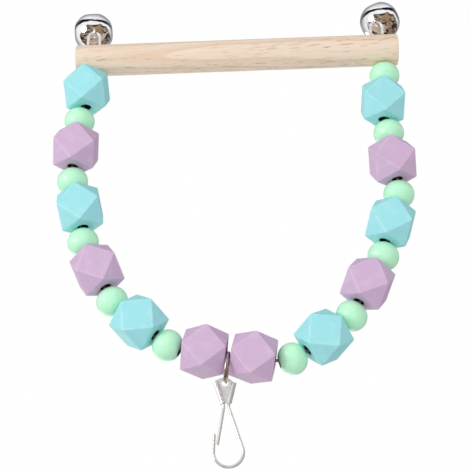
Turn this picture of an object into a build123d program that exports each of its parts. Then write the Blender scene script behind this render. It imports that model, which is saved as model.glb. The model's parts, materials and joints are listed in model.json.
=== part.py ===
"""A bird swing: a dowel perch in an arch of strung wooden beads, with two jingle bells and a spring clip.

Units are millimetres. +Z is up and the swing hangs in the XZ plane, with its front towards -Y.
The origin is where a cage bar bears inside the crown of the clip.
"""
import os
from math import atan2, cos, radians, sin, sqrt, tan

from build123d import *

# Faceted beads: a cube with its corners cut to the middles of its edges, bored through two square faces
FACET_SIZE = 16.0
FACET_BORE = 4.1
# Round beads: a ball drawn in a little at the ends of its bore
ROUND_DIAMETER = 12.0
ROUND_LENGTH = 10.4
ROUND_BORE = 3.7
# Room along the wire between neighbouring beads, and between the last bead and the perch
BEAD_GAP = 0.2
PERCH_GAP = 0.3
# Room that stays between the wire and a bore's wall
BORE_ROOM = 0.1
# Share of the play in its bore by which a bead lies off the wire: into the arch, and to the front
FACET_INWARD_SHARE = 0.66
FACET_FORWARD_SHARE = 0.56
ROUND_INWARD_SHARE = -0.35
ROUND_FORWARD_SHARE = -0.6

# Frame wire, which carries the beads and the perch and ends in an eye for each bell
WIRE_DIAMETER = 1.2
EYE_RADIUS = 2.4
EYE_ROOM = 1.9
EYE_TIP_GAP = 0.5

# Perch, which runs past its two holes by the overhangs
PERCH_DIAMETER = 12.8
RIGHT_OVERHANG = 4.1
LEFT_OVERHANG = 5.8
PERCH_HOLE = 2.4
PERCH_EDGE = 0.5

# Hanger ring between the wire and the clip
RING_RADIUS = 5.4
RING_WIRE = 1.2
RING_SIDE_GAP = 0.25
RING_REST_GAP = 0.15

# Clip: a sheet head, rolled round a hook of spring wire and a gate wire along its two flanks
CLIP_WIRE = 1.1
CLIP_BEND = 0.9
HOOK_RADIUS = 5.3
HOOK_REACH = 25.8
HOOK_SHIFT = 0.1
HOOK_RETURN = 6.4
HOOK_RETURN_ANGLE = -5.0
HEAD_WIDTH = 8.4
HEAD_WAIST = 4.0
HEAD_HEIGHT = 7.8
HEAD_DROP = 2.0
HEAD_CORNER_DROPS = [-0.1, 0.8]
HEAD_SHEET = 0.3
HEAD_HOLE = 2.6
HEAD_ROOM = 0.1
LEG_SET_IN = 5.6
GATE_OVERLAP = 4.0
GATE_GAP = 0.15

# Bells: a ball with four flat leaves round its sides, and slots between the leaves
BELL_DIAMETER = 16.6
BELL_LEAF_WIDTH = 15.8
BELL_WALL = 0.6
BELL_SLOT = 1.5
BELL_SLOT_HOLE = 2.6
BELL_SLOT_ANGLE = 24.0
BELL_NECK = 1.2
BELL_FLAT = 0.6
STAPLE_WIRE = 1.0
STAPLE_RADIUS = 1.5
STAPLE_REST_GAP = 0.1
PELLET_DIAMETER = 4.0
PELLET_GAP = 0.1
# How far each bell leans back from hanging plumb, how far outwards, and how far it turns on its own axis
BELL_LEAN_ANGLE = 54.0
RIGHT_BELL_ASIDE_ANGLE = 8.0
LEFT_BELL_ASIDE_ANGLE = 16.0
RIGHT_BELL_TURN_ANGLE = 0.0
LEFT_BELL_TURN_ANGLE = 22.0

# Dip of the wire below level at each bead, from the top outwards, and at the top between the sides
TOP_RISE_ANGLE = 10.0
RIGHT_DIP_ANGLES = [10, 31, 42, 56, 66, 78, 82, 82, 99, 102, 93]
LEFT_DIP_ANGLES = [-12, 16, 37, 48, 61, 67, 69, 82, 98, 92, 87, 86]
# Turn of each faceted bead about its bore, from the top outwards, away from facing the front square
RIGHT_SPIN_ANGLES = [-1, -1, 1, -1, 0, -5]
LEFT_SPIN_ANGLES = [5, 2, -2, -2, 4, 3]

CUT_OVERRUN = 5.0

WIRE_RADIUS = WIRE_DIAMETER / 2
PERCH_RADIUS = PERCH_DIAMETER / 2
BELL_RADIUS = BELL_DIAMETER / 2
FRONT = Vector(0, -1, 0)


def save(name, shape):
    """Write one piece under its name."""
    export_step(shape, f"parts/{name}.step")


def tell(name, point, axis):
    """Print a joint's place and axis."""
    print(name, *(round(value, 4) for value in (*point, *axis)))


def tube(edges, diameter):
    """Carry a round section along joined lines and arcs."""
    path = Wire(edges)
    start = Plane(origin=path @ 0, z_dir=path % 0)
    return sweep(start * Circle(diameter / 2), path=path)


def across(x, z):
    """A point in the plane of the swing."""
    return Vector(x, 0, z)


def heading(dip, side):
    """Unit direction that runs outwards on one side and dips below level by an angle in degrees."""
    return across(side * cos(radians(dip)), -sin(radians(dip)))


def bend(start, first_dip, last_dip, length, side):
    """A bend of constant radius between two dips: its edge and its end point."""
    turn = radians(last_dip - first_dip)
    middle = (first_dip + last_dip) / 2
    chord = length * (2 * sin(turn / 2) / turn if turn else 1)
    end = start + heading(middle, side) * chord
    if not turn:
        return Edge.make_line(start, end), end
    bow = heading(middle - 90, side) * (chord / 2 * tan(turn / 4))
    return Edge.make_three_point_arc(start, (start + end) / 2 + bow, end), end


def faceted_bead():
    """A cuboctahedron with a bore along Z."""
    half = FACET_SIZE / 2
    square = [Vector(half, 0), Vector(0, half), Vector(-half, 0), Vector(0, -half)]
    sides = {}
    for name, turn in (
        ("top", Rotation(0, 0, 0)),
        ("bottom", Rotation(180, 0, 0)),
        ("front", Rotation(90, 0, 0)),
        ("back", Rotation(-90, 0, 0)),
        ("right", Rotation(0, 90, 0)),
        ("left", Rotation(0, -90, 0)),
    ):
        flat = Face(Wire.make_polygon(square, close=True))
        sides[name] = turn * Pos(0, 0, half) * flat
    corners = []
    for x in (half, -half):
        for y in (half, -half):
            for z in (half, -half):
                points = [Vector(x, y, 0), Vector(0, y, z), Vector(x, 0, z)]
                corners.append(Face(Wire.make_polygon(points, close=True)))
    body = Solid(Shell([*sides.values(), *corners]))
    return body - Cylinder(FACET_BORE / 2, FACET_SIZE + CUT_OVERRUN)


def round_bead():
    """A flattened ball with a bore along Z: one arc from rim to rim, turned about the bore."""
    rim = ROUND_BORE / 2
    half = ROUND_LENGTH / 2
    bulge = ThreePointArc((rim, half), (ROUND_DIAMETER / 2, 0), (rim, -half))
    wall = Line((rim, -half), (rim, half))
    return revolve(Plane.XZ * make_face([bulge, wall]), Axis.Z)


def pitch(turn):
    """Length of wire between a faceted bead and a round one beside it, where the wire turns by an angle.

    The round bead keeps its gap to the flat end face: it comes nearest with the rim of its bore,
    or on a sharper turn with its bulge.
    """
    lean = radians(abs(turn))
    rim = ROUND_BORE / 2
    half = ROUND_LENGTH / 2
    radius = ROUND_DIAMETER / 2
    shift = (radius ** 2 - rim ** 2 - half ** 2) / (radius - rim) / 2
    if lean < atan2(rim - shift, half):
        nearest = rim * sin(lean) + half * cos(lean)
    else:
        nearest = shift * sin(lean) + radius - shift
    span = FACET_SIZE / 2 + nearest + BEAD_GAP
    return span * lean / sin(lean) if lean else span


def ring_pitch(turn):
    """Length of wire between the ring and the faceted bead beside it, where the wire turns by an angle.

    The bead comes nearest to the ring with a corner of its flat end face.
    """
    lean = radians(abs(turn))
    return RING_WIRE / 2 + RING_SIDE_GAP + FACET_SIZE / 2 * (cos(lean) + sin(lean))


def seat(point, dip, side, inward, forward, spin=0):
    """The place of a bead: on the wire's line, moved in its bore, turned about it."""
    along = heading(dip, side)
    centre = point + heading(dip + 90, side) * inward + FRONT * forward
    return Plane(origin=centre, x_dir=FRONT, z_dir=along).location * Rotation(0, 0, spin)


def string_side(name, start, dips, spins, side):
    """String one side from the top down and save its beads.

    Gives the wire's edges, the last bead's place, the perch's place below it and the wire's heading there.
    """
    facet_play = FACET_BORE / 2 - WIRE_RADIUS - BORE_ROOM
    round_play = ROUND_BORE / 2 - WIRE_RADIUS - BORE_ROOM
    edges = []
    point = start
    last_dip = TOP_RISE_ANGLE * side
    for index, dip in enumerate(dips):
        turn = dip - last_dip
        step = pitch(turn) if index else ring_pitch(turn)
        edge, point = bend(point, last_dip, dip, step, side)
        edges.append(edge)
        label = f"{name}_bead_{index + 1:02d}"
        if index % 2 == 0:
            place = seat(point, dip, side, FACET_INWARD_SHARE * facet_play,
                         FACET_FORWARD_SHARE * facet_play, spins[index // 2])
            label += "_faceted"
            save(label, place * faceted_bead())
            tail = FACET_SIZE / 2
        else:
            place = seat(point, dip, side, ROUND_INWARD_SHARE * round_play,
                         ROUND_FORWARD_SHARE * round_play)
            label += "_round"
            save(label, place * round_bead())
            tail = ROUND_LENGTH / 2
        tell(label, place.position, heading(dip, side))
        last_dip = dip
    out = heading(last_dip, side)
    perch_point = point + out * (tail + PERCH_GAP + PERCH_RADIUS)
    return edges, point, perch_point, out


def eye(stem, out, inner):
    """The eye at a wire's end: half a turn from the stem towards the middle, and a leg back to the perch."""
    lowest = stem + (out + inner) * EYE_RADIUS
    back = stem + inner * (EYE_RADIUS * 2)
    leg = EYE_ROOM + EYE_RADIUS + WIRE_RADIUS - EYE_TIP_GAP
    return [Edge.make_three_point_arc(stem, lowest, back), Edge.make_line(back, back - out * leg)], lowest


def bell(name, hinge, aside, turned):
    """A jingle bell that hangs on an eye's lowest point: shell, staple and pellet."""
    reach = BELL_NECK + BELL_RADIUS
    hang = Pos(*hinge) * Rotation(BELL_LEAN_ANGLE, 0, 0) * Rotation(0, aside, 0) * Rotation(0, 0, turned)
    inner = BELL_RADIUS - BELL_WALL
    leaf = BELL_LEAF_WIDTH - BELL_WALL * 2
    # The sides and the far end are pressed a little flat, outside and inside
    press = Box(BELL_LEAF_WIDTH, BELL_LEAF_WIDTH, BELL_DIAMETER)
    outside = Sphere(BELL_RADIUS) & Pos(0, 0, BELL_FLAT) * press
    inside = Sphere(inner) & Pos(0, 0, BELL_FLAT) * Box(leaf, leaf, inner * 2)
    shell = outside - inside
    top_of_slot = -BELL_RADIUS * sin(radians(BELL_SLOT_ANGLE))
    slot_height = BELL_RADIUS + CUT_OVERRUN + top_of_slot
    span = BELL_DIAMETER + CUT_OVERRUN
    middle = top_of_slot - slot_height / 2
    for turn in (45, 135):
        shell -= Rotation(0, 0, turn) * Pos(0, 0, middle) * Box(span, BELL_SLOT, slot_height)
        shell -= Rotation(0, 0, turn) * Pos(0, 0, top_of_slot) * Rotation(90, 0, 0) * Cylinder(
            BELL_SLOT_HOLE / 2, span)
    save(f"{name}_bell_shell", hang * Pos(0, 0, -reach) * shell)
    # The staple's arch rides over the eye, and its legs end on the shell
    arch = WIRE_RADIUS + STAPLE_REST_GAP + STAPLE_WIRE / 2 - STAPLE_RADIUS
    legs = [Vector(0, y, z) for y in (-STAPLE_RADIUS, STAPLE_RADIUS) for z in (-reach, arch)]
    crown = Vector(0, 0, arch + STAPLE_RADIUS)
    staple = tube([Edge.make_line(legs[0], legs[1]), Edge.make_three_point_arc(legs[1], crown, legs[3]),
                   Edge.make_line(legs[3], legs[2])], STAPLE_WIRE)
    staple -= Pos(0, 0, -reach) * Sphere(BELL_RADIUS)
    save(f"{name}_bell_staple", hang * staple)
    # The pellet lies low inside, where it clears the flat as it rolls
    centre = (hang * Pos(0, 0, -reach)).position
    drop = inner - BELL_FLAT - PELLET_DIAMETER / 2 - PELLET_GAP
    save(f"{name}_bell_pellet", Pos(*centre) * Pos(0, 0, -drop) * Sphere(PELLET_DIAMETER / 2))
    tell(f"{name}_bell", hinge, Axis.X.direction)
    tell(f"{name}_bell_pellet", centre, Axis.X.direction)


def bent(start, corner, end):
    """Edges of a wire that runs from a start towards a corner and bends there to run to an end."""
    first = (corner - start).normalized()
    last = (end - corner).normalized()
    radius = CLIP_BEND / tan(radians(first.get_angle(last)) / 2)
    bow = sqrt(CLIP_BEND ** 2 + radius ** 2) - radius
    turn_in = corner - first * CLIP_BEND
    turn_out = corner + last * CLIP_BEND
    arc = Edge.make_three_point_arc(turn_in, corner + (last - first).normalized() * bow, turn_out)
    run_out = Edge.make_line(turn_out, end)
    if (turn_in - start).length > CLIP_WIRE:
        return [Edge.make_line(start, turn_in), arc, run_out]
    return [arc, run_out]


def head_plate(hole, mouths, flanks):
    """The clip's head: a web of two sheets with the ring's hole, rolled into a tube along each flank."""
    bore = CLIP_WIRE / 2 + HEAD_ROOM
    lengths = [(HEAD_HEIGHT + drop) / -flank.Z for flank, drop in zip(flanks, HEAD_CORNER_DROPS)]
    feet = [mouth + flank * length for mouth, flank, length in zip(mouths, flanks, lengths)]
    web = Face(Wire([
        Edge.make_line(mouths[0], mouths[1]),
        Edge.make_line(mouths[1], feet[1]),
        Edge.make_three_point_arc(feet[1], hole - across(0, HEAD_DROP), feet[0]),
        Edge.make_line(feet[0], mouths[0]),
    ]))
    head = extrude(web, amount=HEAD_SHEET, dir=FRONT, both=True)
    for mouth, flank, length in zip(mouths, flanks, lengths):
        along = Plane(origin=mouth + flank * (length / 2), z_dir=flank).location
        head += along * Cylinder(bore + HEAD_SHEET, length)
    for mouth, flank, length in zip(mouths, flanks, lengths):
        along = Plane(origin=mouth + flank * (length / 2), z_dir=flank).location
        head -= along * Cylinder(bore, length + CUT_OVERRUN)
    head -= Pos(*hole) * Rotation(90, 0, 0) * Cylinder(HEAD_HOLE / 2, HEAD_WIDTH)
    save("clip_head_plate", head)


def clip(crown, hole):
    """The spring clip: head, hook wire and gate wire."""
    inset = HEAD_SHEET + HEAD_ROOM + CLIP_WIRE / 2
    half_waist = HEAD_WAIST / 2 - inset
    spread = (HEAD_WIDTH - HEAD_WAIST) / 2
    mouths = [hole + across(side * half_waist, HEAD_HEIGHT) for side in (-1, 1)]
    flanks = [across(side * spread, -HEAD_HEIGHT).normalized() for side in (-1, 1)]
    head_plate(hole, mouths, flanks)
    # The hook's leg runs down the far tube, bends at its mouth and lies tangent to the crown
    leg_foot = mouths[0] + flanks[0] * LEG_SET_IN
    leg_bend = mouths[0] - flanks[0] * CLIP_BEND
    gap = crown - leg_bend
    reach = sqrt(gap.length ** 2 - HOOK_RADIUS ** 2)
    lean = gap.normalized()
    away = across(-lean.Z, lean.X)
    touch = leg_bend + (lean * reach + away * HOOK_RADIUS) * (reach / gap.length)
    back = across(cos(radians(HOOK_RETURN_ANGLE)), sin(radians(HOOK_RETURN_ANGLE)))
    rise = across(-back.Z, back.X)
    leave = crown + back * HOOK_RADIUS
    tip = leave - rise * HOOK_RETURN
    hook = tube([
        *bent(leg_foot, leg_bend, touch),
        Edge.make_three_point_arc(touch, crown + across(0, HOOK_RADIUS), leave),
        Edge.make_line(leave, tip),
    ], CLIP_WIRE)
    save("clip_hook_wire", hook)
    # The gate springs out of the near tube's mouth to lie inside the hook's tip
    beside = tip + rise * GATE_OVERLAP - back * (CLIP_WIRE + GATE_GAP)
    root = mouths[1] - flanks[1] * GATE_GAP
    save("clip_gate_wire", tube(bent(root, root - flanks[1] * CLIP_BEND, beside), CLIP_WIRE))
    tell("clip_gate", root, Axis.Y.direction)


os.makedirs("parts", exist_ok=True)

crown = across(0, -(HOOK_RADIUS - CLIP_WIRE / 2))
hole = crown + across(HOOK_SHIFT, -HOOK_REACH)
clip(crown, hole)

# The ring rests on the lower edge of the head's hole, and the wire rests on the ring
ring_top = hole - across(0, HEAD_HOLE / 2 - RING_WIRE / 2 - RING_REST_GAP)
along_top = heading(TOP_RISE_ANGLE, 1)
down = heading(TOP_RISE_ANGLE + 90, 1)
top = ring_top + down * (2 * RING_RADIUS - RING_WIRE / 2 - WIRE_RADIUS - RING_REST_GAP)
ring_plane = Plane(origin=ring_top + down * RING_RADIUS, z_dir=along_top)
save("hanger_ring", ring_plane.location * Torus(RING_RADIUS, RING_WIRE / 2))
tell("hanger_ring", hole, Axis.Y.direction)
tell("swing_frame", top, along_top)

right = string_side("right", top, RIGHT_DIP_ANGLES, RIGHT_SPIN_ANGLES, 1)
left = string_side("left", top, LEFT_DIP_ANGLES, LEFT_SPIN_ANGLES, -1)

# The perch lies across the two ends of the string, and each end of the wire turns an eye under it
right_point = right[2]
left_point = left[2]
perch_along = (right_point - left_point).normalized()
right_end = right_point + perch_along * RIGHT_OVERHANG
left_end = left_point - perch_along * LEFT_OVERHANG
perch_plane = Plane(origin=(right_end + left_end) / 2, z_dir=perch_along)
perch = perch_plane.location * Cylinder(PERCH_RADIUS, (right_end - left_end).length)
perch = fillet(perch.edges().filter_by(GeomType.CIRCLE), PERCH_EDGE)

wire_edges = []
ends = (
    ("right", right, -perch_along, -RIGHT_BELL_ASIDE_ANGLE, RIGHT_BELL_TURN_ANGLE),
    ("left", left, perch_along, LEFT_BELL_ASIDE_ANGLE, LEFT_BELL_TURN_ANGLE),
)
for name, strung, inner, aside, turned in ends:
    edges, last_bead, point, out = strung
    square_in = (inner - out * inner.dot(out)).normalized()
    stem = point + out * (PERCH_RADIUS + EYE_ROOM + EYE_RADIUS + WIRE_RADIUS)
    eye_edges, hinge = eye(stem, out, square_in)
    wire_edges += [*edges, Edge.make_line(last_bead, stem), *eye_edges]
    hole_plane = Plane(origin=point, z_dir=out)
    perch -= hole_plane.location * Cylinder(PERCH_HOLE / 2, PERCH_DIAMETER + CUT_OVERRUN)
    bell(name, hinge, aside, turned)
save("perch", perch)
save("frame_wire", tube(wire_edges, WIRE_DIAMETER))
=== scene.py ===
"""Looks of the bird swing: painted beads on a wire, a bare dowel perch, plated bells and a spring clip.

Lengths are in metres unless a name says otherwise. The swing hangs as it is used, +Z up, front towards -Y.
Each bead and bell takes its place and size from the frame, and adds what the plain solids lack: painted highlight
along the rounded edges, drawn-in bores with painted shade deep inside, facets that differ a little, slotted
petals, wood grain and plating.
"""

import json
import logging
from dataclasses import dataclass
from enum import Enum
from math import asin, cos, pi, radians, sin, sqrt

import bmesh
import bpy
import numpy as np
from mathutils import Euler, Matrix, Vector

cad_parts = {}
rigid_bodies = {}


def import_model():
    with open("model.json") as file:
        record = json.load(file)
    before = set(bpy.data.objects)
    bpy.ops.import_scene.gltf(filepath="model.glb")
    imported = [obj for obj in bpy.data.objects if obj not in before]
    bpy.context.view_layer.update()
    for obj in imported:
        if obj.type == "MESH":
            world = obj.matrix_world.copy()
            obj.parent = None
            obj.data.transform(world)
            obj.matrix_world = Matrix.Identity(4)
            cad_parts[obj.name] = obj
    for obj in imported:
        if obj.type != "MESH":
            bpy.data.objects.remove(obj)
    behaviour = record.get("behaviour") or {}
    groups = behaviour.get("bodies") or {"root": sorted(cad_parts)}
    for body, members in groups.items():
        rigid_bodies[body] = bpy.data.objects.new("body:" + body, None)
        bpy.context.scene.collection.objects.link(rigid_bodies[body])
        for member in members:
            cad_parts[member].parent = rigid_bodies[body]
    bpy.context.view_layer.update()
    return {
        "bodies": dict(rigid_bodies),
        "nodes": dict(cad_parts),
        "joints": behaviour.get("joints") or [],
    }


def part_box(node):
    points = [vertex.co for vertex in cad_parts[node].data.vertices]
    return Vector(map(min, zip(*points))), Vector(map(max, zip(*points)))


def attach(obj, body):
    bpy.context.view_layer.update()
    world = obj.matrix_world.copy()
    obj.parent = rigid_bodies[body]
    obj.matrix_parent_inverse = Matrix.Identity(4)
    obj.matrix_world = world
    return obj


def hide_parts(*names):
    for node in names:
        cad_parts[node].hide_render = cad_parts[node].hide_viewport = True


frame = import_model()

LOG = logging.getLogger("bird_swing")
MM = 0.001
PER_MM = 1000.0
WELD = 0.002 * MM
JOINTS = {joint["name"]: joint for joint in frame["joints"]}

Colour = tuple[float, float, float]
Socket = bpy.types.NodeSocket


def quads(rows: int, columns: int, close_rows: bool, close_columns: bool) -> np.ndarray:
    """Corner numbers of a grid's faces, each face joining a point to the next in its row and column.

    Args:
        rows: Number of grid rows.
        columns: Number of points in a row.
        close_rows: Whether the last row joins the first.
        close_columns: Whether the last point of a row joins its first.

    Returns:
        One line of four corner numbers for each face.
    """
    row, column = np.meshgrid(
        np.arange(rows if close_rows else rows - 1),
        np.arange(columns if close_columns else columns - 1),
        indexing="ij",
    )
    next_row = (row + 1) % rows
    next_column = (column + 1) % columns
    corners = (
        row * columns + column,
        row * columns + next_column,
        next_row * columns + next_column,
        next_row * columns + column,
    )
    return np.stack(corners, axis=-1).reshape(-1, 4)


def eased(count: int) -> np.ndarray:
    """Steps from 0 to 1 that crowd at both ends, half of one minus the cosine of an even angle."""
    return (1 - np.cos(np.linspace(0, pi, count))) / 2


def mesh_piece(name: str, points: np.ndarray, faces: np.ndarray, marks: dict[str, np.ndarray]) -> bpy.types.Object:
    """Put a worked-out surface into a mesh object, welded where its points meet.

    Args:
        name: Name of the piece.
        points: Places of the points, one line each.
        faces: Corner numbers, one line of four for each face.
        marks: Values kept on the points for the finishes, by name: one or three numbers a point.

    Returns:
        The new object, smooth shaded, at the origin.
    """
    mesh = bpy.data.meshes.new(name)
    mesh.from_pydata(points.tolist(), [], faces.tolist())
    for mark, values in marks.items():
        kind = "FLOAT_VECTOR" if values.ndim > 1 else "FLOAT"
        field_name = "vector" if values.ndim > 1 else "value"
        layer = mesh.attributes.new(mark, kind, "POINT")
        layer.data.foreach_set(field_name, values.astype(np.float32).ravel())
    work = bmesh.new()
    work.from_mesh(mesh)
    bmesh.ops.remove_doubles(work, verts=work.verts, dist=WELD)
    bmesh.ops.dissolve_degenerate(work, edges=work.edges, dist=WELD)
    work.to_mesh(mesh)
    work.free()
    mesh.shade_smooth()
    piece = bpy.data.objects.new(name, mesh)
    bpy.context.scene.collection.objects.link(piece)
    return piece


def node_points(node: str) -> np.ndarray:
    """Read the points of a node of the frame.

    Args:
        node: Name of the node.

    Returns:
        Places of the points, one line each.
    """
    mesh = frame["nodes"][node].data
    flat = np.empty(len(mesh.vertices) * 3)
    mesh.vertices.foreach_get("co", flat)
    return flat.reshape(-1, 3)


class Recipe:
    """A material's node tree, put together node by node."""

    def __init__(self, name: str) -> None:
        """Start an empty material.

        Args:
            name: Name of the material.
        """
        self.material = bpy.data.materials.new(name)
        self.material.use_nodes = True
        self.tree = self.material.node_tree
        self.tree.nodes.clear()

    def add(self, kind: str, sockets: dict[str | int, object], **settings: object) -> bpy.types.Node:
        """Add a node, set it and fill its sockets.

        Args:
            kind: Blender's name of the node type.
            sockets: A value or another node's output for each named or numbered input.
            **settings: Values of the node's own properties.

        Returns:
            The new node.
        """
        node = self.tree.nodes.new(kind)
        for key, value in settings.items():
            setattr(node, key, value)
        for key, value in sockets.items():
            if isinstance(value, Socket):
                self.tree.links.new(value, node.inputs[key])
            else:
                node.inputs[key].default_value = value
        return node

    def mark(self, name: str) -> bpy.types.Node:
        """Read a value that a piece keeps on its points."""
        return self.add("ShaderNodeAttribute", {}, attribute_name=name)

    def placed(self, where: Socket, scale: tuple[float, float, float]) -> Socket:
        """Stretch the coordinates of a pattern by a scale along each axis."""
        return self.add("ShaderNodeMapping", {"Vector": where, "Scale": scale}).outputs[0]

    def noise(self, where: Socket, scale: float, detail: float = 2.0, warp: float = 0.0) -> Socket:
        """Cloudy noise from 0 to 1.

        Args:
            where: Coordinates that the noise is read on.
            scale: Clouds in a unit of length.
            detail: Finer layers that are added.
            warp: How far the noise bends itself.

        Returns:
            The noise's value.
        """
        sockets = {"Vector": where, "Scale": scale, "Detail": detail, "Distortion": warp}
        return self.add("ShaderNodeTexNoise", sockets).outputs[0]

    def span(self, value: Socket, start: float, end: float, low: float = 0.0, high: float = 1.0) -> Socket:
        """Map one range of a value onto another and hold it there.

        Args:
            value: The value to map.
            start: Value that gives the low end.
            end: Value that gives the high end.
            low: Result at the start.
            high: Result at the end.

        Returns:
            The mapped value.
        """
        sockets = {"Value": value, "From Min": start, "From Max": end, "To Min": low, "To Max": high}
        return self.add("ShaderNodeMapRange", sockets, interpolation_type="SMOOTHSTEP").outputs[0]

    def times(self, first: Socket, second: Socket | float) -> Socket:
        """Multiply two values."""
        return self.add("ShaderNodeMath", {0: first, 1: second}, operation="MULTIPLY").outputs[0]

    def plus(self, first: Socket, second: Socket | float) -> Socket:
        """Add two values."""
        return self.add("ShaderNodeMath", {0: first, 1: second}, operation="ADD").outputs[0]

    def blend(self, share: Socket, first: Socket | Colour, second: Socket | Colour) -> Socket:
        """Mix two colours.

        Args:
            share: Share of the second colour.
            first: The first colour.
            second: The second colour.

        Returns:
            The mixed colour.
        """
        first = first if isinstance(first, Socket) else (*first, 1.0)
        second = second if isinstance(second, Socket) else (*second, 1.0)
        return self.add("ShaderNodeMix", {0: share, 6: first, 7: second}, data_type="RGBA").outputs[2]

    def ellipse(self, where: Socket, middle: tuple[float, float], reach: tuple[float, float]) -> Socket:
        """Distance from the middle of a flat ellipse, which is 1 on its rim.

        Args:
            where: Coordinates that the ellipse lies in.
            middle: Place of its middle.
            reach: Half its width and half its height.

        Returns:
            The distance, as a share of the way to the rim.
        """
        moved = self.add("ShaderNodeVectorMath", {0: where, 1: (*middle, 0.0)}, operation="SUBTRACT").outputs[0]
        flat = self.add("ShaderNodeVectorMath", {0: moved, 1: (*reach, 1.0)}, operation="DIVIDE").outputs[0]
        return self.add("ShaderNodeVectorMath", {0: flat}, operation="LENGTH").outputs["Value"]

    def bump(self, height: Socket, depth: float, strength: float = 1.0) -> Socket:
        """Turn a height from 0 to 1 into a bumped normal of a depth in metres."""
        sockets = {"Height": height, "Distance": depth, "Strength": strength}
        return self.add("ShaderNodeBump", sockets).outputs[0]

    def surface(self, sockets: dict[str, object]) -> bpy.types.Material:
        """Finish the material with one surface shader.

        Args:
            sockets: A value or another node's output for each input of the shader.

        Returns:
            The finished material.
        """
        shader = self.add("ShaderNodeBsdfPrincipled", sockets)
        self.add("ShaderNodeOutputMaterial", {"Surface": shader.outputs[0]})
        return self.material


@dataclass(frozen=True)
class Paint:
    """A coat of paint on a turned wooden bead, thin enough that the grain still shows.

    Attributes:
        name: Name of the material.
        slot: Material slot of the record.
        coat: Colour of the coat.
        deep: Colour where the coat lies thick, along the grain and in hollows.
        marks_and_painted_light: Lighter tint of the coat, for the pale mottling and as painted highlight along the
            rounded edges.
        roughness: Roughness of the coat.
        gloss: Weight of the clear coat on top.
        grain: Share of the grain in the colour.
        bore: Near-black colour inside the bore: painted shade, for the darkness deep in it.
    """

    name: str
    slot: str
    coat: Colour
    deep: Colour
    marks_and_painted_light: Colour
    roughness: float
    gloss: float
    grain: float
    # Painted shade: near black, inside the bore.
    bore: Colour = (0.020, 0.014, 0.012)

    def material(self) -> bpy.types.Material:
        """Mix the paint from grain streaks, mottling, painted highlight along the rounded edges and painted shade
        in the bore.

        Returns:
            The paint.
        """
        mix = Recipe(self.name)
        where = mix.mark("grain").outputs["Vector"]
        streaks = mix.noise(mix.placed(where, (0.16, 2.6, 2.6)), 1.0, 4.0, 0.4)
        fibres = mix.noise(mix.placed(where, (0.5, 7.0, 7.0)), 1.0, 2.0)
        clouds = mix.noise(where, 0.22, 3.0)
        specks = mix.noise(where, 5.5, 2.0)
        thick = mix.times(mix.span(streaks, 0.42, 0.78), self.grain)
        colour = mix.blend(thick, self.coat, self.deep)
        pale = mix.times(mix.span(clouds, 0.45, 0.75), self.grain * 0.5)
        colour = mix.blend(pale, colour, self.marks_and_painted_light)
        colour = mix.blend(mix.times(mix.span(specks, 0.68, 0.80), self.grain * 0.35), colour, self.deep)
        # Painted highlight: the coat made lighter along the rounded edges, unevenly under the clouds.
        painted_light = mix.times(mix.mark("edge").outputs["Fac"], mix.span(clouds, 0.30, 0.60, 0.25, 0.65))
        colour = mix.blend(painted_light, colour, self.marks_and_painted_light)
        # Painted shade inside the bore, deeper in than the rounding of its mouth.
        colour = mix.blend(mix.mark("bore").outputs["Fac"], colour, self.bore)
        height = mix.plus(mix.times(streaks, 0.6), mix.times(fibres, 0.4))
        return mix.surface({
            "Base Color": colour,
            "Roughness": mix.span(fibres, 0.2, 0.8, self.roughness - 0.05, self.roughness + 0.07),
            "Normal": mix.bump(height, 0.05 * MM, self.grain),
            "Coat Weight": self.gloss,
            "Coat Roughness": 0.16,
        })


class Coat(Enum):
    """The three coats that the beads are painted in, by the order in which they are strung."""

    # The third colour of each coat is a lighter tint, for the pale mottling and the painted highlight on the
    # edges.
    LILAC = Paint("lilac matte paint", "lilac_paint", (0.617, 0.435, 0.630), (0.520, 0.345, 0.540),
                  (0.750, 0.580, 0.760), 0.62, 0.0, 0.55)
    MINT = Paint("mint satin lacquer", "mint_paint", (0.520, 0.965, 0.655), (0.430, 0.890, 0.540),
                 (0.650, 0.980, 0.750), 0.38, 0.40, 0.26)
    TEAL = Paint("teal matte paint", "teal_paint", (0.335, 0.755, 0.800), (0.245, 0.660, 0.715),
                 (0.490, 0.860, 0.885), 0.62, 0.0, 0.55)


STRING_ORDER = (Coat.LILAC, Coat.MINT, Coat.TEAL, Coat.MINT)
BORED_ENDS = [2, 5]
LEVEL_SHARE = 0.05


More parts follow.
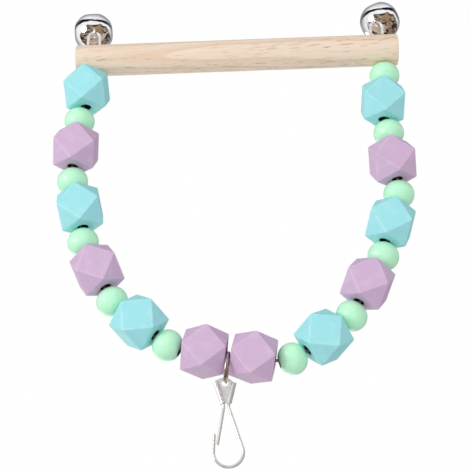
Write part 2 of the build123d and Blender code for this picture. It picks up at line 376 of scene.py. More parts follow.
@dataclass(frozen=True)
class BareWood:
    """Sanded softwood of the perch: growth rings, long soft streaks and short brown flecks.

    Attributes:
        name: Name of the material.
        slot: Material slot of the record; not used.
        early: Colour of the pale wood.
        late: Colour of the darker lines of each year.
        fleck: Colour of the short flecks.
        band: Colour of the long pale bands.
        pith: Distance and height of the tree's middle from the dowel's, in millimetres.
        year: Width of a year's growth, in millimetres.
        slope: Angle of the grain to the dowel, in degrees.
    """

    name: str = "bare pine"
    slot: str = "perch_wood"
    early: Colour = (0.840, 0.692, 0.560)
    late: Colour = (0.735, 0.516, 0.336)
    fleck: Colour = (0.400, 0.235, 0.130)
    band: Colour = (0.890, 0.770, 0.640)
    pith: tuple[float, float] = (-34.0, 15.0)
    year: float = 2.3
    slope: float = 3.6

    def material(self, to_dowel: Matrix) -> bpy.types.Material:
        """Mix the wood as one solid pattern, so that sides and ends show the same rings.

        Args:
            to_dowel: Turns and shifts places on the swing so that the dowel lies along X.

        Returns:
            The wood.
        """
        mix = Recipe(self.name)
        seen = mix.add("ShaderNodeTexCoord", {}).outputs["Object"]
        scaled = Matrix.Scale(PER_MM, 4) @ to_dowel
        where = mix.add("ShaderNodeMapping", {
            "Vector": seen,
            "Location": scaled.to_translation(),
            "Rotation": to_dowel.to_euler(),
            "Scale": (PER_MM, PER_MM, PER_MM),
        }).outputs[0]
        sway = mix.noise(mix.placed(where, (0.012, 0.06, 0.06)), 1.0, 2.0)
        from_pith = mix.add("ShaderNodeMapping", {
            "Vector": where,
            "Location": (0.0, *self.pith),
            "Scale": (0.0, 1.0, 1.0),
        }).outputs[0]
        reach = mix.add("ShaderNodeVectorMath", {0: from_pith}, operation="LENGTH").outputs["Value"]
        years = mix.plus(mix.times(reach, 1 / self.year), mix.times(sway, 2.2))
        phase = mix.add("ShaderNodeMath", {0: years}, operation="FRACT").outputs[0]
        ring = mix.times(mix.span(phase, 0.35, 0.93), mix.span(phase, 1.0, 0.94))
        fibres = mix.noise(mix.placed(where, (0.035, 1.5, 1.5)), 1.0, 5.0)
        bands = mix.noise(mix.placed(where, (0.010, 0.30, 0.30)), 1.0, 2.0)
        fine = mix.noise(mix.placed(where, (0.16, 6.5, 6.5)), 1.0, 2.0)
        dashes = mix.noise(mix.placed(where, (0.15, 2.3, 2.3)), 1.0, 1.0)
        colour = mix.blend(mix.times(ring, 0.60), self.early, self.late)
        colour = mix.blend(mix.times(mix.span(fibres, 0.45, 0.75), 0.50), colour, self.late)
        colour = mix.blend(mix.times(mix.span(bands, 0.50, 0.72), 0.30), colour, self.band)
        height = mix.add("ShaderNodeSeparateXYZ", {"Vector": where}).outputs[2]
        marks = mix.times(mix.span(dashes, 0.605, 0.70), mix.span(bands, 0.58, 0.40, 0.30, 0.85))
        marks = mix.times(marks, mix.span(height, -4.0, 4.0, 0.40, 1.0))
        colour = mix.blend(marks, colour, self.fleck)
        relief = mix.plus(mix.times(fine, 0.6), mix.times(fibres, 0.4))
        return mix.surface({
            "Base Color": colour,
            "Roughness": mix.span(fine, 0.2, 0.8, 0.52, 0.66),
            "Normal": mix.bump(relief, 0.06 * MM, 0.6),
        })


@dataclass(frozen=True)
class Plating:
    """A bright metal: plated sheet or drawn wire, with faint handling marks, and painted shade above a height
    where one is given.

    Attributes:
        name: Name of the material.
        slot: Material slot of the record; not used.
        metal: Colour of the metal.
        dull: Colour where it is handled or tarnished, and the colour of painted shade above a height.
        roughness: Roughness where it is clean.
        haze: Roughness that the handling marks add.
        scale: Handling marks in a millimetre.
        bright: Share of bare metal, where the rest is a pale film of oxide.
        painted_light: Height above which the metal is darkened towards its dull colour as painted shade, if it is:
            on the frame wire, the length strung through the beads.
    """

    name: str
    slot: str
    metal: Colour
    dull: Colour
    roughness: float
    haze: float
    scale: float
    bright: float = 1.0
    painted_light: float | None = None

    def material(self) -> bpy.types.Material:
        """Mix the metal from clouds of handling marks and fine scratches, and painted shade above a height if one
        is given.

        Returns:
            The metal.
        """
        mix = Recipe(self.name)
        seen = mix.add("ShaderNodeTexCoord", {}).outputs["Object"]
        where = mix.placed(seen, (PER_MM, PER_MM, PER_MM))
        clouds = mix.noise(where, self.scale, 4.0, 0.3)
        scratches = mix.noise(mix.placed(where, (9.0, 1.2, 1.2)), 1.0, 2.0, 1.5)
        marks_and_painted_light = mix.span(clouds, 0.45, 0.75)
        if self.painted_light is not None:
            # Painted shade: darker towards the dull colour above the given height.
            height = mix.add("ShaderNodeSeparateXYZ", {"Vector": seen}).outputs[2]
            marks_and_painted_light = mix.plus(mix.times(marks_and_painted_light, 0.3), mix.span(height, self.painted_light, self.painted_light + 4 * MM))
        return mix.surface({
            "Base Color": mix.blend(marks_and_painted_light, self.metal, self.dull),
            "Metallic": self.bright,
            "Roughness": mix.span(clouds, 0.35, 0.75, self.roughness, self.roughness + self.haze),
            "Normal": mix.bump(scratches, 0.004 * MM, 0.5),
        })


class Metal(Enum):
    """The metals of the swing."""

    CHROME = Plating("bell chrome", "bell_chrome", (0.90, 0.90, 0.91), (0.80, 0.79, 0.78), 0.03, 0.06, 0.35)
    NICKEL = Plating("clip nickel", "clip_nickel", (0.77, 0.76, 0.75), (0.64, 0.62, 0.60), 0.20, 0.10, 0.8, 0.55)
    RING = Plating("ring steel", "ring_steel", (0.66, 0.63, 0.58), (0.46, 0.42, 0.37), 0.24, 0.12, 0.9)
    # The frame wire is painted darker above its height, as painted shade where it is strung through the beads.
    WIRE = Plating("frame wire steel", "frame_steel", (0.88, 0.87, 0.86), (0.22, 0.21, 0.20), 0.20, 0.12, 0.9,
                   0.45, -0.179)
    PELLET = Plating("pellet steel", "pellet_steel", (0.55, 0.55, 0.55), (0.36, 0.34, 0.32), 0.35, 0.15, 0.6)


def dress_node(node: str, material: bpy.types.Material) -> None:
    """Give a node of the frame, whose shape is right as it is, its finish.

    Args:
        node: Name of the node.
        material: The finish.
    """
    mesh = frame["nodes"][node].data
    mesh.materials.clear()
    mesh.materials.append(material)
    LOG.info("%s keeps its solid, in %s", node, material.name)


@dataclass(frozen=True)
class Seat:
    """Where a bead sits on the wire, read from the frame.

    Attributes:
        centre: Middle of the bead.
        axes: The bead's own X, Y and Z as columns, with Z along the bore.
        half: Half of the bead's length along its bore.
        radius: Greatest reach from the bore's line.
        bore: Radius of the bore.
    """

    centre: np.ndarray
    axes: np.ndarray
    half: float
    radius: float
    bore: float

    @classmethod
    def read(cls, node: str, joint: str) -> "Seat":
        """Measure a bead's solid about the line that it turns on.

        A corner of the solid that lies level with its middle gives the turn about the bore:
        it stands half a right angle from the bead's own X.

        Args:
            node: Name of the bead's node.
            joint: Name of the joint that the bead turns on.

        Returns:
            The bead's seat.
        """
        centre = np.array(JOINTS[joint]["pos_m"])
        along = np.array(JOINTS[joint]["axis"])
        along = along / np.linalg.norm(along)
        offset = node_points(node) - centre
        height = offset @ along
        flat = offset - np.outer(height, along)
        reach = np.linalg.norm(flat, axis=1)
        half = float(np.abs(height).max())
        level = np.where(np.abs(height) < LEVEL_SHARE * half, reach, 0)
        corner = flat[level.argmax()] / level.max()
        square = np.cross(along, corner)
        turn = radians(-45)
        first = corner * cos(turn) + square * sin(turn)
        axes = np.stack((first, np.cross(along, first), along), axis=1)
        return cls(centre, axes, half, float(reach.max()), float(reach.min()))

    def world(self, local: np.ndarray) -> np.ndarray:
        """Carry places from the bead's own axes to the swing's."""
        return local.reshape(-1, 3) @ self.axes.T + self.centre


@dataclass
class Bead:
    """One bead of the string: its sizes, its mesh and its coat.

    Attributes:
        body: Name of the body that the bead is.
        node: Name of the node that the bead stands for.
        paint: The bead's coat.
        seed: Start of the bead's own small differences.
        rim: Radius of the rounding at the mouth of the bore.
        rim_steps: Rows across that rounding.
        bore_steps: Rows along the bore.
    """

    body: str
    node: str
    paint: Paint
    seed: int
    rim: float = 0.30 * MM
    rim_steps: int = 5
    bore_steps: int = 4

    def __post_init__(self) -> None:
        """Read the bead's seat and start its own differences."""
        self.seat = Seat.read(self.node, f"{self.body}_spin")
        self.chance = np.random.default_rng(self.seed)

    def grain(self, local: np.ndarray) -> np.ndarray:
        """Find where the bead lay in the block of wood that it was cut from, by a turn and a shift of its own.

        Args:
            local: Places on the bead's own axes.

        Returns:
            Places in the block, in millimetres, one line each.
        """
        turn = Euler(self.chance.uniform(0, 2 * pi, 3)).to_matrix()
        shift = self.chance.uniform(-50, 50, 3)
        return local.reshape(-1, 3) @ np.array(turn) * PER_MM + shift

    def rim_profile(self, top: float) -> np.ndarray:
        """Radius and height of a quarter round from a bead's end into its bore.

        Args:
            top: Height at which the rounding starts.

        Returns:
            One line of radius and height for each row, from the outside in.
        """
        angle = np.linspace(0, pi / 2, self.rim_steps)
        radius = self.seat.bore + self.rim * (1 - np.sin(angle))
        height = top - self.rim * (1 - np.cos(angle))
        return np.stack((radius, height), axis=1)

    def bore_profile(self, top: float) -> np.ndarray:
        """Radius and height from the mouth of the bore through it and out at the other end.

        Args:
            top: Height at which the rounding of the mouth starts.

        Returns:
            One line of radius and height for each row.
        """
        mouth = self.rim_profile(top)
        depth = np.linspace(mouth[-1, 1], -mouth[-1, 1], self.bore_steps + 2)[1:-1]
        wall = np.stack((np.full_like(depth, self.seat.bore), depth), axis=1)
        return np.concatenate((mouth, wall, mouth[::-1] * (1, -1)))

    def deep(self, radius: np.ndarray, height: np.ndarray) -> np.ndarray:
        """How far inside the bore a point lies, and so its share of painted shade: 0 outside and 1 past the
        rounding of its mouth.
        """
        inside = np.clip((self.seat.bore + self.rim * 0.6 - radius) / (self.rim * 0.5), 0, 1)
        return inside * np.clip((self.seat.half - np.abs(height)) / self.rim, 0, 1)

    def place(self, local: np.ndarray, edge: np.ndarray, wrap: tuple[int, int]) -> bpy.types.Object:
        """Make the piece from its grid and put it on its body in its paint.

        Args:
            local: Grid of places on the bead's own axes, closed along both ways.
            edge: How far each point of the grid lies on a rounded edge, from 0 to 1, which sets its painted
                highlight.
            wrap: Rows and columns of the grid.

        Returns:
            The bead.
        """
        radius = np.hypot(local[..., 0], local[..., 1]).ravel()
        marks = {
            "grain": self.grain(local),
            "edge": edge.ravel(),
            # Share of painted shade inside the bore.
            "bore": self.deep(radius, local[..., 2].ravel()),
        }
        piece = mesh_piece(self.body, self.seat.world(local), quads(*wrap, True, True), marks)
        piece.data.materials.append(PAINTS[self.paint.slot])
        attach(piece, self.body)
        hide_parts(self.node)
        LOG.info("%s: %d points in %s", piece.name, len(piece.data.vertices), self.paint.name)
        return piece


@dataclass
class FacetedBead(Bead):
    """A bead cut to six squares and eight triangles, its edges rounded by tumbling.

    Attributes:
        sharpness: How sharp the edges are: the power in the sum that rounds them.
        uneven: Greatest share by which a facet is cut deeper than its neighbours.
        side_steps: Columns across each facet.
        height_steps: Rows over half of the bead's height.
        end_steps: Rows across an end face.
    """

    sharpness: float = 85.0
    uneven: float = 0.014
    side_steps: int = 11
    height_steps: int = 15
    end_steps: int = 9

    def ring(self, level: np.ndarray) -> np.ndarray:
        """Outline of the sharp bead at levels from -1 to 1 of its half length.

        At a level z the outline is an octagon. Its sides on the four upright squares run from
        (1, -w) to (1, w) with w = 1 - |z|, and those on the triangles from (1, w) to (w, 1).

        Args:
            level: The levels.

        Returns:
            A row of places for each level.
        """
        step = eased(self.side_steps + 1)[:-1]
        rise = np.abs(level)[:, None]
        wide = 1 - rise
        on_square = np.stack((np.ones_like(wide * step), (2 * step - 1) * wide), axis=-1)
        on_triangle = np.stack((1 - rise * step, wide + rise * step), axis=-1)
        quarter = np.concatenate((on_square, on_triangle), axis=1)
        turns = []
        for x_from, y_from in (((1, 0), (0, 1)), ((0, -1), (1, 0)), ((-1, 0), (0, -1)), ((0, 1), (-1, 0))):
            turns.append(np.stack((quarter @ np.array(x_from), quarter @ np.array(y_from)), axis=-1))
        outline = np.concatenate(turns, axis=1)
        tall = np.broadcast_to(level[:, None, None], (*outline.shape[:2], 1))
        return np.concatenate((outline, tall), axis=-1) * self.seat.half

    def facets(self) -> np.ndarray:
        """Cut each facet to its own depth, apart from the bored ends.

        Returns:
            The facets' outward directions over their distances, one line each.
        """
        squares = np.concatenate((np.eye(3), -np.eye(3)))
        signs = np.array(np.meshgrid((1, -1), (1, -1), (1, -1))).reshape(3, -1).T
        planes = np.concatenate((squares, signs / 2)) / self.seat.half
        deeper = 1 + self.chance.uniform(0, self.uneven, len(planes))
        deeper[BORED_ENDS] = 1
        return planes * deeper[:, None]

    def build(self) -> bpy.types.Object:
        """Make the bead as one closed grid: over the outside from bore to bore, then back through it.

        Each point of the sharp bead is drawn in along its radius until the powers of its distances
        to the facets' planes, as shares, add up to one, which rounds every edge and corner.

        Returns:
            The bead.
        """
        level = np.concatenate((1 - eased(self.height_steps), -eased(self.height_steps)[1:]))
        sides = self.ring(level)
        angle = np.arctan2(sides[0, :, 1], sides[0, :, 0])
        circle = np.stack((np.cos(angle), np.sin(angle)), axis=-1)
        mouth = circle * (self.seat.bore + self.rim)
        share = eased(self.end_steps)[:-1, None, None]
        end = mouth * (1 - share) + sides[0, :, :2] * share
        top = np.concatenate((end, np.full((*end.shape[:2], 1), self.seat.half)), axis=-1)
        outside = np.concatenate((top, sides, (top * (1, 1, -1))[::-1]))
        pull = np.clip(outside @ self.facets().T, 0, None)
        most = pull.max(axis=-1)
        spread = ((pull / most[..., None]) ** self.sharpness).sum(axis=-1) ** (-1 / self.sharpness)
        outside = outside * (spread / most)[..., None]
        # How rounded each point is, 0 on a flat and 1 on an edge: the share of painted highlight there.
        edge = np.clip((1 - spread) / (1 - 2 ** (-1 / self.sharpness)), 0, 1)
        profile = self.bore_profile(self.seat.half)[::-1][1:-1]
        inner = np.concatenate((
            profile[:, None, :1] * circle,
            np.broadcast_to(profile[:, None, 1:], (len(profile), len(circle), 1)),
        ), axis=-1)
        local = np.concatenate((outside, inner))
        edge = np.concatenate((edge, np.zeros(inner.shape[:2])))
        return self.place(local, edge, local.shape[:2])


@dataclass
class RoundBead(Bead):
    """A turned ball drawn in a little at the ends of its bore.

    Attributes:
        around: Columns round the bead.
        over: Rows over the outside.
        lathe: Depth of the faint waves that turning left.
        waves: Rate of the waves along the profile, in radians of wave to a radian of the arc.
        mouth_highlight: Share of painted highlight on the rounding at the mouth of its bore.
    """

    around: int = 72
    over: int = 56
    lathe: float = 0.012 * MM
    waves: float = 23.0
    mouth_highlight: float = 0.6

    def build(self) -> bpy.types.Object:
        """Make the bead by turning its profile: one arc from rim to rim, then back through the bore.

        Returns:
            The bead.
        """
        seat = self.seat
        middle = (seat.radius ** 2 - seat.bore ** 2 - seat.half ** 2) / (seat.radius - seat.bore) / 2
        bulge = seat.radius - middle
        lip = np.arccos((seat.bore + self.rim - middle) / bulge)
        angle = np.linspace(lip, -lip, self.over)
        wave = self.lathe * (np.sin(angle * self.waves + self.chance.uniform(0, 2 * pi)) - 1)
        outer = np.stack((middle + (bulge + wave) * np.cos(angle), (bulge + wave) * np.sin(angle)), axis=1)
        inner = self.bore_profile(outer[0, 1])[::-1][1:-1]
        profile = np.concatenate((outer, inner))
        turn = np.linspace(0, 2 * pi, self.around, endpoint=False)
        local = np.stack((
            profile[:, :1] * np.cos(turn),
            profile[:, :1] * np.sin(turn),
            np.broadcast_to(profile[:, 1:], (len(profile), self.around)),
        ), axis=-1)
        # Painted highlight on the rounding at the mouth of the bore.
        painted_light = np.clip(1 - (profile[:, 0] - seat.bore - self.rim) / (3 * self.rim), 0, 1)
        edge = np.broadcast_to(painted_light[:, None] * self.mouth_highlight, local.shape[:2])
        return self.place(local, edge, local.shape[:2])


@dataclass
class Strings:
    """The two strings of beads, faceted and round in turn from the top down.

    Attributes:
        first_seed: Start of the first bead's own differences; each bead takes the next.
    """

    first_seed: int = 41

    def build(self) -> None:
        """Make every bead that the frame has."""
        bodies = sorted(name for name in frame["bodies"] if "_bead_" in name)
        for index, body in enumerate(bodies):
            number = int(body.rsplit("_", 1)[1])
            paint = STRING_ORDER[(number - 1) % len(STRING_ORDER)].value
            kind, word = (RoundBead, "round") if number % 2 == 0 else (FacetedBead, "faceted")
            kind(body, f"{body}_{word}", paint, self.first_seed + index).build()


@dataclass
class Perch:
    """The dowel, whose solid stays and gets its wood.

    Attributes:
        node: Name of the dowel's node.
        wood: Its wood.
    """

    node: str = "perch"
    wood: BareWood = BareWood()

    def dress(self) -> None:
        """Lay the wood's pattern along the dowel."""
        points = node_points(self.node)
        low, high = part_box(self.node)
        centre = (low + high) / 2
        along = np.linalg.svd(points - points.mean(axis=0), full_matrices=False)[2][0]
        turn = Vector(along).rotation_difference(Vector((1, 0, 0))).to_matrix().to_4x4()
        grain = Matrix.Rotation(radians(self.wood.slope), 4, "Y")
        dress_node(self.node, self.wood.material(grain @ turn @ Matrix.Translation(-centre)))


@dataclass
class Bell:
    """A jingle bell: a pressed shell of four leaves between crossed slots, its staple and its pellet.

    Attributes:
        side: Side of the swing that it hangs on.
        wall: Thickness of the shell.
        slot: Width of the slots.
        slot_hole: Diameter of the hole that ends each slot.
        slot_angle: How far below its widest the shell's slots start, in degrees.
        press: How sharply the pressed flats meet the ball.
        columns: Columns across each quarter of the shell.
        cap_steps: Rows from the top to the slots' holes.
        hole_steps: Rows down the holes.
        petal_steps: Rows from the holes to the tips of the petals.
    """

    side: str
    wall: float = 0.6 * MM
    slot: float = 1.5 * MM
    slot_hole: float = 2.6 * MM
    slot_angle: float = 24.0
    press: float = 40.0
    columns: int = 33
    cap_steps: int = 44
    hole_steps: int = 16
    petal_steps: int = 26

    def __post_init__(self) -> None:
        """Measure the ball and its flats in the frame, on the bell's own axes.

        Z runs from the ball's middle to the hinge, and Y across the two legs of the staple.
        """
        self.body = f"{self.side}_bell"
        self.centre = np.array(JOINTS[f"{self.side}_pellet_roll"]["pos_m"])
        up = np.array(JOINTS[f"{self.side}_bell_swing"]["pos_m"]) - self.centre
        up = up / np.linalg.norm(up)
        legs = node_points(f"{self.body}_staple") - self.centre
        legs = legs - np.outer(legs @ up, up)
        across = np.linalg.svd(legs, full_matrices=False)[2][0]
        self.axes = np.stack((np.cross(across, up), across, up), axis=1)
        local = (node_points(f"{self.body}_shell") - self.centre) @ self.axes
        self.radius = float(np.linalg.norm(local, axis=1).max())
        self.leaf = float(np.abs(local[:, :2]).max())
        self.flat = float(-local[:, 2].min())

    def levels(self) -> tuple[np.ndarray, np.ndarray]:
        """Heights of the rows on the ball, and half of the slots' width at each.

        Down the holes the rows stand at cosines of an even angle, so that the holes come out round.

        Returns:
            The heights and the half widths.
        """
        radius = self.radius
        start = -radius * sin(radians(self.slot_angle))
        hole = self.slot_hole / 2
        half = self.slot / 2
        down = np.linspace(0, pi - asin(half / hole), self.hole_steps)
        hole_level = start + hole * np.cos(down)
        cap = radius * np.cos(np.linspace(0, np.arccos(hole_level[0] / radius), self.cap_steps)[:-1])
        tip = pi - asin(half * sqrt(2) / radius)
        petal = radius * np.cos(np.linspace(np.arccos(hole_level[-1] / radius), tip, self.petal_steps)[1:])
        gap = np.concatenate((np.zeros_like(cap), hole * np.sin(down), np.full_like(petal, half)))
        return np.concatenate((cap, hole_level, petal)), gap

    def pressed(self, ball: np.ndarray) -> np.ndarray:
        """Press the leaves and the far end of the ball a little flat.

        Each point is drawn in along its radius until the powers of its distances to the ball and to the
        five flats, as shares, add up to one.

        Args:
            ball: Places on the plain ball, one line each.

        Returns:
            Places on the pressed shell, one line each.
        """
        pull = np.stack((
            np.ones(len(ball)),
            np.abs(ball[:, 0]) / self.leaf,
            np.abs(ball[:, 1]) / self.leaf,
            np.clip(-ball[:, 2], 0, None) / self.flat,
        ), axis=1)
        return ball / (pull ** self.press).sum(axis=1, keepdims=True) ** (1 / self.press)

    def shell(self) -> bpy.types.Object:
        """Make the shell from four quarters of a ball, drawn back from the slots between them.

        A row at height z lies on the circle of radius sqrt(R^2 - z^2). Across a quarter it runs
        through a right angle, less the angle that half a slot takes up at each side.

        Returns:
            The shell, without its thickness.
        """
        level, gap = self.levels()
        reach = np.sqrt(np.clip(self.radius ** 2 - level ** 2, 0, None))
        back = np.arcsin(np.clip(gap / np.maximum(reach, WELD), 0, sin(pi / 4)))
        leaf = np.linspace(-1, 1, self.columns) * (pi / 4 - back)[:, None]
        points = []
        faces = []
        for quarter in range(4):
            turn = quarter * pi / 2 + leaf
            x = reach[:, None] * np.cos(turn)
            y = reach[:, None] * np.sin(turn)
            z = np.broadcast_to(level[:, None], x.shape)
            points.append(np.stack((x, y, z), axis=-1).reshape(-1, 3))
            faces.append(quads(len(level), self.columns, False, False)[:, ::-1] + quarter * x.size)
        placed = self.pressed(np.concatenate(points)) @ self.axes.T + self.centre
        return mesh_piece(self.body, placed, np.concatenate(faces), {})

    def build(self) -> None:
        """Make the shell on its body, and dress the staple and the pellet."""
        piece = self.shell()
        wall = piece.modifiers.new("wall", "SOLIDIFY")
        wall.thickness = self.wall
        wall.offset = -1.0
        wall.use_even_offset = True
        piece.data.materials.append(METALS[Metal.CHROME])
        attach(piece, self.body)
        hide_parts(f"{self.body}_shell")
        LOG.info("%s: %d points in chrome", piece.name, len(piece.data.vertices))
        dress_node(f"{self.body}_staple", METALS[Metal.CHROME])
        dress_node(f"{self.body}_pellet", METALS[Metal.PELLET])


@dataclass
class Hardware:
    """The clip, the hanger ring and the frame wire, whose solids stay and get their metals."""

    def dress(self) -> None:
        """Give each piece its metal."""
        for node in ("clip_head_plate", "clip_hook_wire", "clip_gate_wire"):
            dress_node(node, METALS[Metal.NICKEL])
        dress_node("hanger_ring", METALS[Metal.RING])
        dress_node("frame_wire", METALS[Metal.WIRE])


@dataclass(frozen=True)
class PaintedReflection:
    """What the studio's dome shows to bright metal, by the place at which a round piece mirrors it: a glowing
    painted reflection.

    It is white, with a dim brown room behind the camera painted in as reflected shade, a lit window in that, a
    dark seam above and a grey back.
    Places run from -1 to 1 across the round piece.

    Attributes:
        name: Name of the material.
        white: Colour of the cloth.
        brown: Colour of most of the room, the painted reflection of the shaded perch and room.
        fawn: Colour of the room's lighter parts.
        pale: Colour of what shines in the room.
        dark: Colour of the streaks in the room.
        brink: Colour towards the room's edge.
        seam: Colour of the seam.
        band: Colour next to the seam, past it.
        far_band: Colour further past the seam.
        behind: Colour behind the swing.
        room: Middle of the room.
        room_reach: Half the room's width and height.
        window: Middle of the window.
        window_reach: Half the window's width and height.
    """

    name: str = "painted reflection dome"
    white: Colour = (1.0, 1.0, 1.0)
    brown: Colour = (0.33, 0.20, 0.11)
    fawn: Colour = (0.50, 0.42, 0.35)
    pale: Colour = (0.92, 0.90, 0.88)
    dark: Colour = (0.030, 0.020, 0.016)
    brink: Colour = (0.050, 0.036, 0.028)
    seam: Colour = (0.010, 0.010, 0.012)
    band: Colour = (0.97, 0.97, 0.98)
    far_band: Colour = (0.70, 0.70, 0.73)
    behind: Colour = (0.20, 0.20, 0.21)
    room: tuple[float, float] = (0.12, -0.17)
    room_reach: tuple[float, float] = (0.78, 0.64)
    window: tuple[float, float] = (0.0, 0.45)
    window_reach: tuple[float, float] = (0.34, 0.085)

    def material(self) -> bpy.types.Material:
        """Mix the painted reflection, which glows by itself though it is no lamp.

        Returns:
            The painted reflection.
        """
        mix = Recipe(self.name)
        where = mix.mark("mirror").outputs["Vector"]
        warp = mix.noise(where, 2.2, 2.0)
        clouds = mix.noise(mix.placed(where, (2.0, 3.4, 1.0)), 1.0, 3.0, 1.2)
        streaks = mix.noise(mix.placed(where, (2.4, 7.0, 1.0)), 1.0, 2.0, 1.6)
        apart = mix.add("ShaderNodeSeparateXYZ", {"Vector": where})
        across, height = apart.outputs[0], apart.outputs[1]
        sides = mix.times(across, across)
        waved = mix.plus(height, mix.times(warp, 0.16))
        room = mix.blend(mix.span(clouds, 0.38, 0.62), self.brown, self.fawn)
        room = mix.blend(mix.span(clouds, 0.60, 0.68), room, self.pale)
        room = mix.blend(mix.span(streaks, 0.47, 0.56), room, self.dark)
        reach = mix.plus(mix.ellipse(where, self.room, self.room_reach), mix.times(warp, 0.40))
        room = mix.blend(mix.span(reach, 1.04, 1.18, 0.0, 0.6), room, self.brink)
        tone = mix.blend(mix.span(reach, 1.22, 1.18), self.white, room)
        window = mix.ellipse(where, self.window, self.window_reach)
        tone = mix.blend(mix.span(window, 1.05, 0.95), tone, self.white)
        seam = mix.plus(waved, mix.times(sides, 0.26))
        tone = mix.blend(mix.span(seam, 0.62, 0.65), tone, self.seam)
        rim = mix.plus(waved, mix.times(sides, 0.06))
        band = mix.blend(mix.span(rim, 0.76, 0.92), self.band, self.far_band)
        tone = mix.blend(mix.span(rim, 0.71, 0.74), tone, band)
        edge = mix.ellipse(where, (0.0, 0.0), (1.0, 1.0))
        tone = mix.blend(mix.span(edge, 0.76, 0.97, 0.0, 0.8), tone, self.behind)
        # The pattern glows by itself as painted reflection, seen only in bright metal.
        glow = mix.add("ShaderNodeEmission", {"Color": tone, "Strength": 1.0})
        mix.add("ShaderNodeOutputMaterial", {"Surface": glow.outputs[0]})
        return mix.material


@dataclass(frozen=True)
class Lamp:
    """A round soft lamp that faces the swing.

    Attributes:
        name: Name of the lamp.
        offset: Place of the lamp from what the camera looks at.
        size: Width of the lamp.
        level: Brightness that it gives a white surface that faces it.
        mirrored: Whether bright metal mirrors it.
    """

    name: str
    offset: tuple[float, float, float]
    size: float
    level: float
    mirrored: bool = True

    def hang(self, target: tuple[float, float, float]) -> None:
        """Hang the lamp.

        Args:
            target: Place that the camera looks at.
        """
        away = Vector(self.offset)
        light = bpy.data.lights.new(self.name, "AREA")
        light.shape = "DISK"
        light.size = self.size
        light.energy = self.level * pi ** 2 * away.length_squared
        lamp = bpy.data.objects.new(self.name, light)
        lamp.location = Vector(target) + away
        lamp.rotation_euler = away.to_track_quat("Z", "Y").to_euler()
        lamp.visible_glossy = self.mirrored
        bpy.context.scene.collection.objects.link(lamp)


LAMPS = (
    Lamp("key lamp", (0.80, -0.60, -0.08), 0.55, 0.43),
    Lamp("fill lamp", (-0.30, -0.90, 0.30), 0.90, 0.27, False),
    Lamp("back lamp", (0.30, 0.90, 0.20), 0.90, 0.32),
)


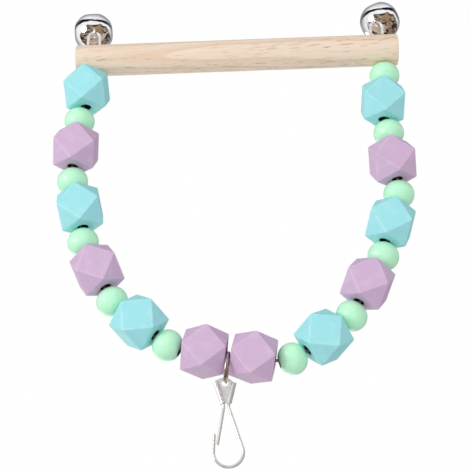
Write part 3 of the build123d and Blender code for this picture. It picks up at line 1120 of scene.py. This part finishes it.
@dataclass
class Studio:
    """A white studio: pale floor, soft lamps, white surroundings and the camera.

    Attributes:
        floor_drop: Height of the floor below the origin.
        floor_size: Width of the floor.
        ambient: Light from all round.
        dome_radius: Radius of the dome that bright metal mirrors.
        dome_steps: Rings of the dome.
        painted_reflection: The painted reflection that the dome shows to bright metal.
        lens: Focal length of the camera, in millimetres.
        distance: Distance from the camera to what it looks at.
        elevation: Height of the camera above level, in degrees.
        roll: Turn of the camera about its line of sight, in degrees.
        target: Place that the camera looks at.
    """

    floor_drop: float = 1.1
    floor_size: float = 12.0
    ambient: float = 0.625
    dome_radius: float = 1.6
    dome_steps: int = 64
    painted_reflection: PaintedReflection = PaintedReflection()
    lens: float = 100.0
    distance: float = 0.4969
    elevation: float = 26.2
    roll: float = -3.0
    target: tuple[float, float, float] = (-0.0063, 0.0, -0.0898)

    def sight(self) -> tuple[tuple[float, float, float], tuple[float, float, float]]:
        """Find how the camera stands before it is turned about its line of sight.

        Returns:
            The ways from the swing to the camera and up in the picture.
        """
        tilt = radians(self.elevation)
        return (0.0, -cos(tilt), sin(tilt)), (0.0, -sin(tilt), -cos(tilt))

    def floor(self) -> None:
        """Lay the floor: white to the eye, pale under the lamps so that it keeps shadows, unseen by mirrors."""
        half = self.floor_size / 2
        corners = np.array(((-half, -half), (half, -half), (half, half), (-half, half)))
        points = np.column_stack((corners, np.full(4, -self.floor_drop)))
        piece = mesh_piece("floor", points, np.arange(4)[None], {})
        mix = Recipe("white floor")
        path = mix.add("ShaderNodeLightPath", {})
        seen = mix.plus(path.outputs["Is Camera Ray"], path.outputs["Is Transmission Ray"])
        clouds = mix.noise(mix.add("ShaderNodeTexCoord", {}).outputs["Object"], 3.0)
        tone = mix.blend(clouds, (0.90, 0.90, 0.90), (0.92, 0.92, 0.92))
        matte = mix.add("ShaderNodeBsdfDiffuse", {"Color": tone}).outputs[0]
        white = mix.add("ShaderNodeEmission", {"Color": (1, 1, 1, 1), "Strength": 1.0}).outputs[0]
        share = mix.span(seen, 0.0, 1.0, 0.0, 0.99)
        shader = mix.add("ShaderNodeMixShader", {0: share, 1: matte, 2: white})
        mix.add("ShaderNodeOutputMaterial", {"Surface": shader.outputs[0]})
        piece.data.materials.append(mix.material)
        piece.visible_glossy = False

    def dome(self) -> None:
        """Raise a dome over the whole studio, a glowing backdrop that only bright metal sees, with the painted
        reflection on it.

        The dome is a ball about what the camera looks at. A point that stands at an angle from the line of
        sight is mirrored by a round piece at the sine of half that angle from its middle, as seen from the
        camera, and keeps that place as its mark.
        """
        back, high = (np.array(way) for way in self.sight())
        out = np.linspace(0, pi, self.dome_steps)[:, None, None]
        turn = np.linspace(0, 2 * pi, self.dome_steps * 2, endpoint=False)[:, None]
        ring = np.cos(turn) * np.cross(high, back) + np.sin(turn) * high
        points = (np.cos(out) * back + np.sin(out) * ring) * self.dome_radius
        flat = np.concatenate((np.cos(turn), np.sin(turn), np.zeros_like(turn)), axis=1)
        marks = {"mirror": (np.sin(out / 2) * flat).reshape(-1, 3)}
        faces = quads(self.dome_steps, self.dome_steps * 2, False, True)
        piece = mesh_piece("painted reflection dome", points.reshape(-1, 3) + np.array(self.target), faces, marks)
        piece.data.materials.append(self.painted_reflection.material())
        # Only mirrored rays see the dome, so its glowing pattern shows on bright metal as painted reflection.
        for ray in ("camera", "diffuse", "shadow", "transmission", "volume_scatter"):
            setattr(piece, f"visible_{ray}", False)

    def surroundings(self) -> None:
        """Set the world: white where it is seen or mirrored, dimmer where it only lights the swing."""
        world = bpy.data.worlds.new("white surroundings")
        bpy.context.scene.world = world
        world.use_nodes = True
        nodes = world.node_tree.nodes
        links = world.node_tree.links
        nodes.clear()
        path = nodes.new("ShaderNodeLightPath")
        first = nodes.new("ShaderNodeMath")
        first.operation = "MAXIMUM"
        seen = nodes.new("ShaderNodeMath")
        seen.operation = "MAXIMUM"
        strength = nodes.new("ShaderNodeMapRange")
        strength.inputs["To Min"].default_value = self.ambient
        strength.inputs["To Max"].default_value = 1.0
        back = nodes.new("ShaderNodeBackground")
        out = nodes.new("ShaderNodeOutputWorld")
        links.new(path.outputs["Is Camera Ray"], first.inputs[0])
        links.new(path.outputs["Is Glossy Ray"], first.inputs[1])
        links.new(first.outputs[0], seen.inputs[0])
        links.new(path.outputs["Is Transmission Ray"], seen.inputs[1])
        links.new(seen.outputs[0], strength.inputs["Value"])
        links.new(strength.outputs[0], back.inputs["Strength"])
        back.inputs["Color"].default_value = (1, 1, 1, 1)
        links.new(back.outputs[0], out.inputs["Surface"])

    def camera(self) -> None:
        """Set the camera in front, above and upside down, as the swing was laid for its picture."""
        data = bpy.data.cameras.new("camera")
        data.lens = self.lens
        data.sensor_width = 36.0
        data.clip_start = 0.01
        data.clip_end = 50.0
        camera = bpy.data.objects.new("camera", data)
        back, level = (Vector(way) for way in self.sight())
        side = level.cross(back)
        lean = radians(self.roll)
        up = level * cos(lean) - side * sin(lean)
        turn = Matrix((up.cross(back), up, back)).transposed()
        camera.matrix_world = Matrix.Translation(Vector(self.target) + back * self.distance) @ turn.to_4x4()
        bpy.context.scene.collection.objects.link(camera)
        bpy.context.scene.camera = camera

    def build(self) -> None:
        """Set up the whole studio."""
        bpy.context.scene.view_settings.view_transform = "Standard"
        self.floor()
        self.surroundings()
        for lamp in LAMPS:
            lamp.hang(self.target)
        self.dome()
        self.camera()


def main() -> None:
    """Build the swing's pieces in order, then the studio."""
    logging.basicConfig(level=logging.INFO, format="%(message)s")
    Strings().build()
    Perch().dress()
    for side in ("right", "left"):
        Bell(side).build()
    Hardware().dress()
    Studio().build()


if __name__ == "__main__":
    PAINTS = {coat.value.slot: coat.value.material() for coat in Coat}
    METALS = {metal: metal.value.material() for metal in Metal}
    main()
